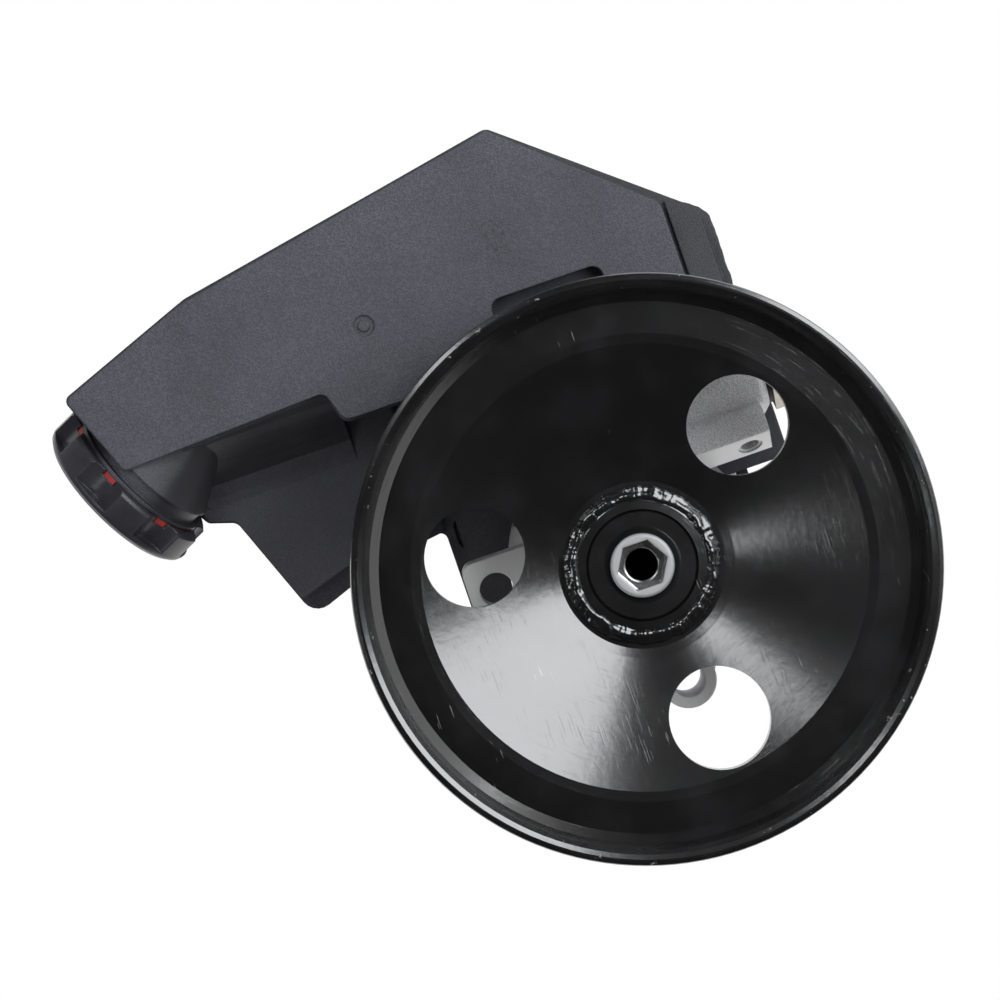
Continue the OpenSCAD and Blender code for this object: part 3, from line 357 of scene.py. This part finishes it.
def tank_plastic():
    """Black nylon with a fine moulded grain, palest on the raised panel, which is rubbed and scraped, with
    painted shade on faces turned away from the front.
    """
    panel_step = (0.0125, 0.0175)
    rub_middle = (0.093, 0.0084)
    rub_reach = (0.009, 0.005)
    scrape_middle = (0.1088, 0.0379)
    scrape_reach = (0.003, 0.005)
    f = Finish("tank_plastic", {"IOR": 1.5})
    f.soften(0.0006)
    x, y, z = f.split(f.place)
    panel = f.fall(y, *panel_step)
    front = f.fall(f.split(f.normal)[1], -0.95, -0.80)
    grain = f.noise(2600.0, detail=3.0, rough=0.6)
    cloud = f.clouds(45.0)
    smudges = f.spread(f.noise(900.0, detail=4.0, rough=0.7), 0.5, 0.6)
    rub = f.patch(x, z, rub_middle, rub_reach, smudges)
    lines = f.streaks(f.times(f.maths("ADD", x, z), 260.0), f.times(x, 2600.0), detail=3.0, rough=0.6)
    scrape = f.patch(x, z, scrape_middle, scrape_reach, f.spread(lines, 0.56, 0.66))
    pale = f.mix(cloud, grey(0.052, 1.30), grey(0.066, 1.30))
    dark = f.mix(cloud, grey(0.032, 1.26), grey(0.042, 1.26))
    plain_face = f.mix(panel, dark, pale)
    pits = f.mix(0.5, plain_face, grey(0.010, 1.2))
    stippled = f.mix(f.spread(grain, 0.38, 0.64), pits, plain_face)
    rubbed = f.mix(f.times(rub, panel), stippled, grey(0.022, 1.2))
    scraped = f.mix(f.times(scrape, panel), rubbed, grey(0.15, 1.1))
    # Painted shade: a darker copy of the plastic on faces turned away from the front.
    shaded_sides = f.mix(cloud, grey(0.015, 1.2), grey(0.020, 1.2))
    f.give("Base Color", f.mix(front, shaded_sides, scraped))
    f.give("Roughness", f.between(front, 0.42, 0.55))
    f.raise_by(grain, depth=0.0002, strength=f.between(front, 0.3, 0.9))
    return f.finish()


def cap_plastic():
    """Satin black nylon of the filler cap."""
    f = Finish("cap_plastic", {"IOR": 1.5})
    f.soften(0.0006)
    cloud = f.clouds(60.0)
    f.give("Base Color", f.mix(cloud, grey(0.018, 1.25), grey(0.027, 1.25)))
    f.give("Roughness", f.between(cloud, 0.27, 0.36))
    f.raise_by(f.noise(1300.0), depth=0.00005, strength=0.5)
    return f.finish()


def rubber(name, dark, light):
    """Dull rubber with soft clouds."""
    f = Finish(name, {"IOR": 1.45})
    cloud = f.clouds(220.0, detail=3.0, rough=0.5)
    f.give("Base Color", f.mix(cloud, dark, light))
    f.give("Roughness", f.between(cloud, 0.5, 0.62))
    f.raise_by(f.noise(1700.0), depth=0.00004, strength=0.5)
    return f.finish()


FINISHES = {
    "black_paint": black_paint(),
    "bright_steel": bright_steel(),
    "hard_steel": hard_steel(),
    "spring_steel": plated("spring_steel", (0.33, 0.34, 0.36, 1.0), rough=0.36),
    "cast_aluminium": cast_aluminium(),
    "bronze": plated("bronze", (0.60, 0.42, 0.20, 1.0), rough=0.42),
    "zinc_steel": plated("zinc_steel", (0.66, 0.63, 0.54, 1.0), rough=0.34),
    "tank_plastic": tank_plastic(),
    "cap_plastic": cap_plastic(),
    "red_rubber": rubber("red_rubber", (0.20, 0.010, 0.008, 1.0), (0.30, 0.014, 0.012, 1.0)),
    "black_rubber": rubber("black_rubber", grey(0.012), grey(0.024)),
}

SLOT_NODES = {
    "black_paint": ["pulley", "pulley_hub"],
    "bright_steel": ["drive_shaft", "flow_control_valve", "alignment_dowels"],
    "hard_steel": ["rotor", "thrust_plate", "cam_ring", "pressure_plate", "end_cover"]
    + [f"vane_{i}" for i in range(1, 11)],
    "spring_steel": [
        "rotor_retaining_ring",
        "pressure_plate_spring",
        "end_cover_retaining_ring",
        "flow_control_spring",
    ],
    "cast_aluminium": ["pump_housing", "valve_housing"],
    "bronze": ["shaft_bushing"],
    "zinc_steel": ["outlet_fitting", "reservoir_clip_upper", "reservoir_clip_lower"],
    "tank_plastic": ["reservoir_front", "reservoir_rear"],
    "cap_plastic": ["filler_cap", "dipstick"],
    "red_rubber": ["cap_gasket"],
    "black_rubber": [
        "shaft_seal",
        "pressure_plate_seal",
        "end_cover_seal",
        "outlet_fitting_seal",
        "feed_port_seal",
    ],
}


def dress_nodes():
    for slot, names in SLOT_NODES.items():
        for name in names:
            node = nodes[name]
            node.data.materials.clear()
            node.data.materials.append(FINISHES[slot])


def mesh_from(bm, name):
    """Mesh of a bmesh, which is then freed."""
    mesh = bpy.data.meshes.new(name)
    bm.to_mesh(mesh)
    bm.free()
    return mesh


def mesh_piece(name, build, slot, body):
    """Mesh made by a function of a bmesh, finished in one slot and riding on one body."""
    bm = bmesh.new()
    build(bm)
    bmesh.ops.recalc_face_normals(bm, faces=bm.faces)
    mesh = mesh_from(bm, name)
    for face in mesh.polygons:
        face.use_smooth = True
    mesh.materials.append(FINISHES[slot])
    piece = add_object(name, mesh)
    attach(piece, body)


def sweep(bm, sections, closed):
    """Skin over a row of sections with the same number of points."""
    rings = [[bm.verts.new(p) for p in section] for section in sections]
    count = len(rings[0])
    following = rings[1:] + rings[:1] if closed else rings[1:]
    for a, b in zip(rings, following):
        for k in range(count):
            n = (k + 1) % count
            bm.faces.new((a[k], a[n], b[n], b[k]))
    if not closed:
        bm.faces.new(rings[0])
        bm.faces.new(list(reversed(rings[-1])))


def uneven(at, scale, amount, shift=Vector((0.0, 0.0, 0.0))):
    """Smooth unevenness of about that amount, finer with a greater scale."""
    return amount * noise.noise(at * scale + shift)


def hub_weld(bm):
    """Uneven bead round the hub, with a ridge along each of its edges and a ripple across it."""
    sections = []
    for i in range(WELD_STEPS):
        a = FULL_TURN * i / WELD_STEPS
        out = Vector((math.cos(a), 0.0, math.sin(a)))
        wander = uneven(out, 2.6, 0.35) + uneven(out, 8.0, 0.22, Vector((5, 1, 2)))
        swell = 1.0 + uneven(out, 4.5, 0.22, Vector((2, 7, 1))) + uneven(out, 17.0, 0.10)
        middle = out * (WELD_RADIUS + wander) * MM + Vector((0.0, WELD_PLACE * MM, 0.0))
        section = []
        for k in range(WELD_POINTS):
            t = FULL_TURN * k / WELD_POINTS
            across = Vector((math.cos(t), math.sin(t), 0.0))
            ridge = 1.0 + 0.16 * math.cos(4 * t + uneven(out, 3.0, 3.0))
            ripple = uneven(out, 22.0, 0.10, across * 1.7) + uneven(out, 60.0, 0.06, across * 4.0)
            size = swell * (ridge + ripple)
            outwards = out * (WELD_HALF_WIDTH * size * across.x * MM)
            along = Vector((0.0, WELD_HALF_HEIGHT * size * across.y * MM, 0.0))
            section.append(middle + outwards + along)
        sections.append(section)
    sweep(bm, sections, closed=True)


def bend(before, corner, after, radius, steps):
    """Points of the arc that rounds a corner between two straight lines."""
    u = (before - corner).normalized()
    v = (after - corner).normalized()
    half = u.angle(v) / 2
    centre = corner + (u + v).normalized() * radius / math.sin(half)
    first = corner + u * radius / math.tan(half) - centre
    last = corner + v * radius / math.tan(half) - centre
    start = math.atan2(first.y, first.x)
    turn = math.atan2(first.x * last.y - first.y * last.x, first.dot(last))
    angles = [start + turn * k / steps for k in range(steps + 1)]
    return [centre + Vector((math.cos(t), math.sin(t))) * radius for t in angles]


def even(points, gap):
    """The same open line, with points about an even gap apart."""
    line = [points[0]]
    for a, b in zip(points, points[1:]):
        count = max(1, round((b - a).length / gap))
        line += [a.lerp(b, (k + 1) / count) for k in range(count)]
    return line


def seam_flash(bm):
    """Squeezed-out plastic along the right end of the weld flange, at its edge and on its front face."""
    start, corner, end = (Vector(point) for point in FLASH_CORNERS)
    arc = bend(start, corner, end, FLASH_BEND_RADIUS, FLASH_BEND_STEPS)
    line = even([start] + arc + [end], FLASH_STEP)
    for inset, place in ((0.0, FLASH_EDGE_PLACE), (FLASH_FACE_INSET, FLASH_FACE_PLACE)):
        sections = []
        for i, point in enumerate(line):
            ahead = (line[min(i + 1, len(line) - 1)] - line[max(i - 1, 0)]).normalized()
            out = Vector((ahead.y, 0.0, -ahead.x))
            at = Vector((point.x, place, point.y)) - out * inset
            size = 1.0 + uneven(at, 0.16, 0.8) + uneven(at, 0.6, 0.5)
            size *= min(1.0, (i + 1) / FLASH_FADE_STEPS, (len(line) - i) / FLASH_FADE_STEPS)
            half_width = FLASH_HALF_WIDTH * size
            half_height = FLASH_LEAST_HALF_HEIGHT + FLASH_SWELLING * size
            section = []
            for k in range(FLASH_POINTS):
                t = FULL_TURN * k / FLASH_POINTS
                reach = out * (half_width * math.cos(t)) + Vector((0.0, half_height * math.sin(t), 0.0))
                section.append((at + reach) * MM)
            sections.append(section)
        sweep(bm, sections, closed=False)


def build_pieces():
    mesh_piece("hub_weld", hub_weld, "black_paint", "drive")
    mesh_piece("tank_seam_flash", seam_flash, "tank_plastic", "pump")
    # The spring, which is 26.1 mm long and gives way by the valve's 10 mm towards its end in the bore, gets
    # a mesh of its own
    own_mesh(nodes["flow_control_spring"])


def add_floor():
    """Pale floor well below the part and out of the photograph, ending before the pulley mirrors it."""
    bm = bmesh.new()
    for side, y in ((-1, FLOOR_FRONT), (1, FLOOR_FRONT), (1, FLOOR_BACK), (-1, FLOOR_BACK)):
        bm.verts.new((side * FLOOR_HALF_WIDTH, y, FLOOR_LEVEL))
    bm.faces.new(bm.verts)
    mesh = mesh_from(bm, "floor")
    f = Finish("floor", {"Roughness": 0.7})
    f.give("Base Color", f.mix(f.noise(3.0), grey(0.82), grey(0.86)))
    mesh.materials.append(f.finish())
    floor = add_object("floor", mesh)


def light_world():
    """White background and even fill; shiny faces mirror it as white behind the part and dark in front."""
    world = bpy.data.worlds.new("studio")
    bpy.context.scene.world = world
    world.use_nodes = True
    w = Wiring(world.node_tree)
    background = w.tree.nodes["Background"]
    backwards = w.split(w.add("TexCoord").outputs["Generated"])[1]
    mirrored = w.spread(backwards, *WORLD_TURN, WORLD_FRONT, WORLD_BACK)
    rays = w.add("LightPath").outputs
    shiny = w.maths("MAXIMUM", rays["Is Glossy Ray"], rays["Is Transmission Ray"])
    lit = w.blend(shiny, WORLD_FILL, mirrored)
    w.feed(background.inputs["Strength"], w.blend(rays["Is Camera Ray"], lit, WORLD_BACK))
    w.feed(background.inputs["Color"], (1.0, 1.0, 1.0, 1.0))


def add_lights():
    softbox("key", towards=(0.533, 0.409, 0.741), distance=0.64, size=(0.40, 0.46), radiance=4.6)
    softbox("side", towards=(-0.5965, -0.255, 0.7607), distance=0.66, size=(0.16, 0.09), radiance=4.0)
    softbox("top", towards=(-0.441, 0.445, 0.779), distance=0.66, size=(0.24, 0.24), radiance=4.2)


add_camera()
dress_nodes()
build_pieces()
add_floor()
light_world()
add_lights()
bpy.context.scene.view_settings.view_transform = "Standard"
